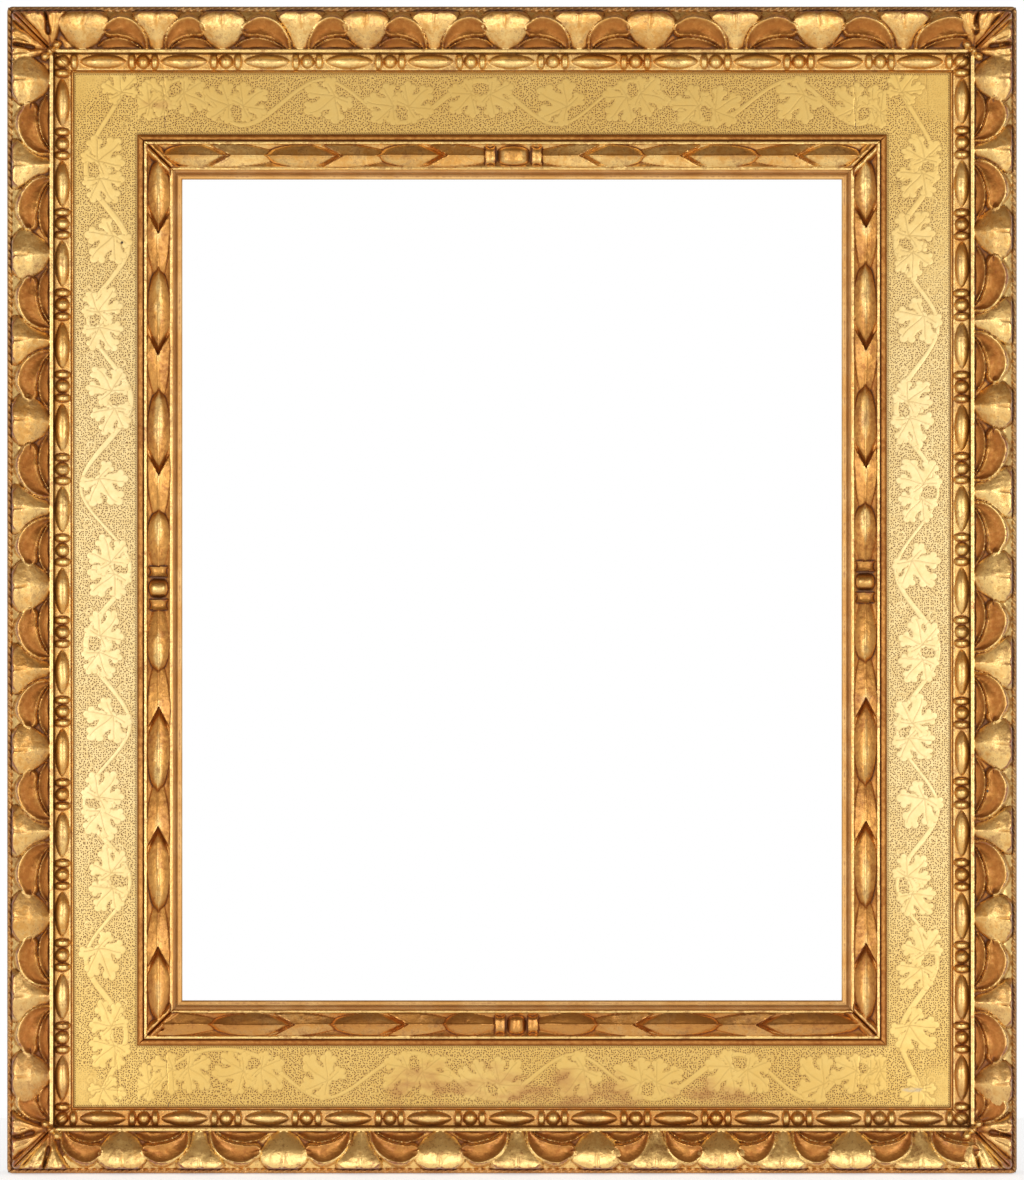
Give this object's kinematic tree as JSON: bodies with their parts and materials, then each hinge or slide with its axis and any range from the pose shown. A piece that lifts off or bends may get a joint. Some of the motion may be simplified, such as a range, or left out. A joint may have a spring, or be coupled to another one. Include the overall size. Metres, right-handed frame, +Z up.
{
  "type": "picture frame",
  "caption": "Carved and gilded cassetta picture frame with a punched vine frieze, bead-and-reel course and husk sight moulding, with hanging rings and turn buttons.",
  "frame": {"origin": "centre of the frame's outline, half way through its depth", "axes": "+X to the right as seen from the front, +Z up, +Y from the gilded front towards the wall"},
  "size_m": [0.6048, 0.0454, 0.699],
  "materials": {
    "frame_board": "gilded and punched on the front, bare aged poplar on the back",
    "carved_gilding": "carved wood, water gilded over red bole, toned and worn",
    "slip_gilding": "gilded over red bole, rubbed",
    "peg_wood": "riven end grain, darkened",
    "nail_iron": "rusted cut iron",
    "hanger_metal": "tarnished brass",
    "button_metal": "tarnished brass",
    "screw_metal": "dull steel"
  },
  "bodies": {
    "frame": {"left_stile": "frame_board", "right_stile": "frame_board", "top_rail": "frame_board", "bottom_rail": "frame_board", "outer_moulding_top": "carved_gilding", "bead_and_reel_top": "carved_gilding", "sight_moulding_top": "carved_gilding", "sight_slip_top": "slip_gilding", "outer_moulding_right": "carved_gilding", "bead_and_reel_right": "carved_gilding", "sight_moulding_right": "carved_gilding", "sight_slip_right": "slip_gilding", "outer_moulding_bottom": "carved_gilding", "bead_and_reel_bottom": "carved_gilding", "sight_moulding_bottom": "carved_gilding", "sight_slip_bottom": "slip_gilding", "outer_moulding_left": "carved_gilding", "bead_and_reel_left": "carved_gilding", "sight_moulding_left": "carved_gilding", "sight_slip_left": "slip_gilding", "lap_pegs": "peg_wood", "moulding_nails": "nail_iron", "hanger_strap_left": "hanger_metal", "hanger_strap_right": "hanger_metal", "hanger_screws": "screw_metal", "turn_button_screws": "screw_metal"},
    "left_ring": {"hanger_ring_left": "hanger_metal"},
    "right_ring": {"hanger_ring_right": "hanger_metal"},
    "button_1": {"turn_button_1": "button_metal"},
    "button_2": {"turn_button_2": "button_metal"},
    "button_3": {"turn_button_3": "button_metal"},
    "button_4": {"turn_button_4": "button_metal"}
  },
  "joints": [
    {"name": "left_ring_swing", "type": "hinge", "parent": "frame", "child": "left_ring", "pos_m": [-0.2556, 0.0198, 0.175], "axis": [1, 0, 0], "range_deg": [0, 170]},
    {"name": "right_ring_swing", "type": "hinge", "parent": "frame", "child": "right_ring", "pos_m": [0.2556, 0.0198, 0.175], "axis": [1, 0, 0], "range_deg": [0, 170]},
    {"name": "button_1_turn", "type": "hinge", "parent": "frame", "child": "button_1", "pos_m": [-0.2228, 0.0182, 0.15], "axis": [0, -1, 0], "range_deg": [0, 90]},
    {"name": "button_2_turn", "type": "hinge", "parent": "frame", "child": "button_2", "pos_m": [-0.2228, 0.0182, -0.15], "axis": [0, -1, 0], "range_deg": [0, 90]},
    {"name": "button_3_turn", "type": "hinge", "parent": "frame", "child": "button_3", "pos_m": [0.2228, 0.0182, 0.15], "axis": [0, 1, 0], "range_deg": [0, 90]},
    {"name": "button_4_turn", "type": "hinge", "parent": "frame", "child": "button_4", "pos_m": [0.2228, 0.0182, -0.15], "axis": [0, 1, 0], "range_deg": [0, 90]}
  ]
}
